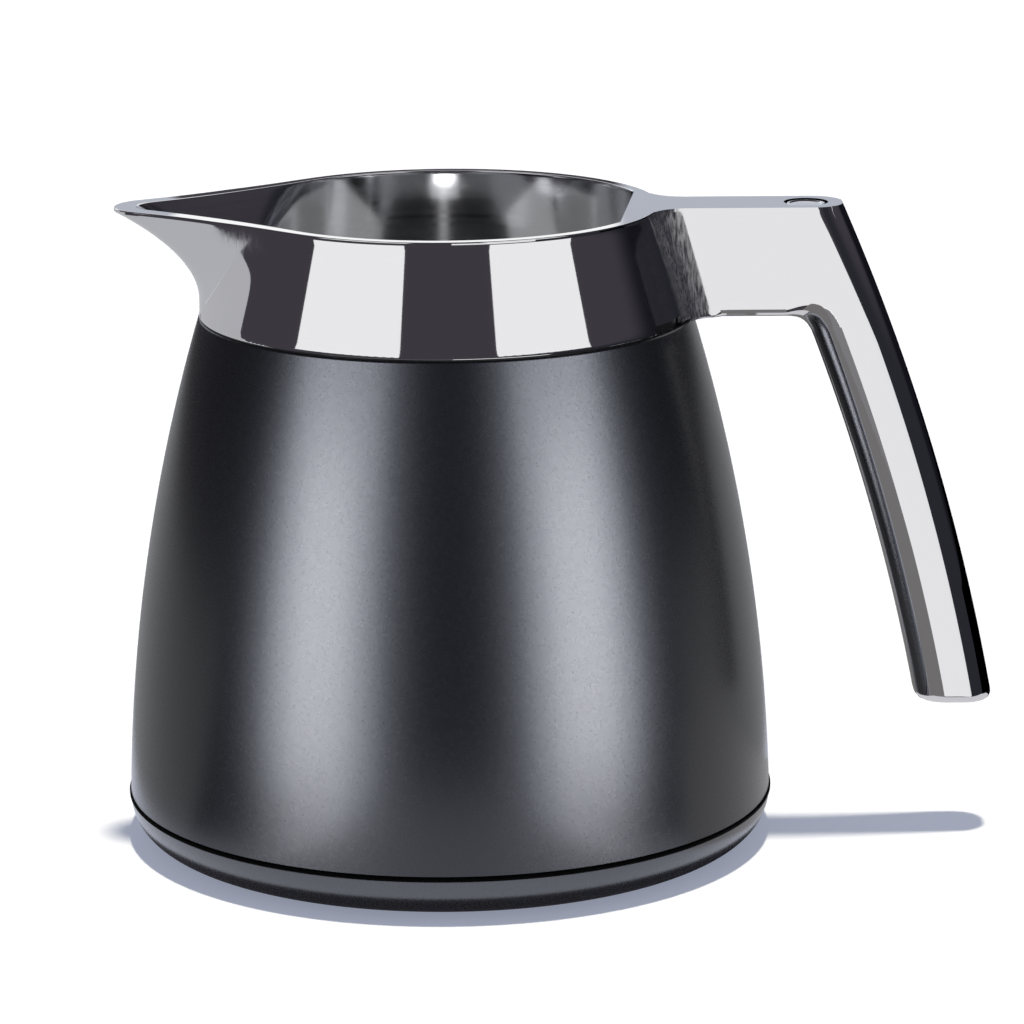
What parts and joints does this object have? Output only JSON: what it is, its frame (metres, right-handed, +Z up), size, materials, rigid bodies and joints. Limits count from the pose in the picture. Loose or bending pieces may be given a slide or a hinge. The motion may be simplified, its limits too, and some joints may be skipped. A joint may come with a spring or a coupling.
{
  "type": "thermal carafe",
  "caption": "Open thermal carafe: matte black tapered vacuum flask with a polished cast collar drawn out into a pouring spout and an open-ended handle.",
  "frame": {"origin": "centre of the foot pad's underside, on the vessel's axis", "axes": "+X towards the handle, -X towards the spout, +Y away from the picture's camera, +Z up"},
  "size_m": [0.1993, 0.1484, 0.1457],
  "materials": {
    "shell_paint": "matte black powder coat with a fine metallic grain",
    "cast_polish": "cast, polished to a mirror",
    "flask_steel": "drawn sheet, brushed inside",
    "cap_black": "matte black, matched to the shell",
    "black_silicone": "black silicone",
    "fixing_steel": "plain stainless",
    "shield_foil": "bright foil",
    "getter_metal": "sintered grey metal",
    "bead_glass": "fused sealing bead",
    "inlay_chrome": "satin dish, plain"
  },
  "bodies": {
    "root": {"foot_pad": "black_silicone", "base_cap": "cap_black", "base_screw_a": "fixing_steel", "base_screw_b": "fixing_steel", "base_screw_c": "fixing_steel", "base_boss_a": "fixing_steel", "base_boss_b": "fixing_steel", "base_boss_c": "fixing_steel", "base_gasket": "black_silicone", "outer_shell": "shell_paint", "bottom_pan": "flask_steel", "port_bead": "bead_glass", "inner_wall": "flask_steel", "inner_neck": "flask_steel", "inner_bottom": "flask_steel", "radiation_shield": "shield_foil", "getter_pellet": "getter_metal", "getter_clip": "fixing_steel", "neck_ring": "flask_steel", "neck_seal": "black_silicone", "retaining_ring": "fixing_steel", "collar_gasket": "black_silicone", "locating_lug_back": "shell_paint", "locating_lug_front": "shell_paint", "spout_collar_handle": "cast_polish", "handle_inlay": "inlay_chrome"}
  },
  "joints": []
}
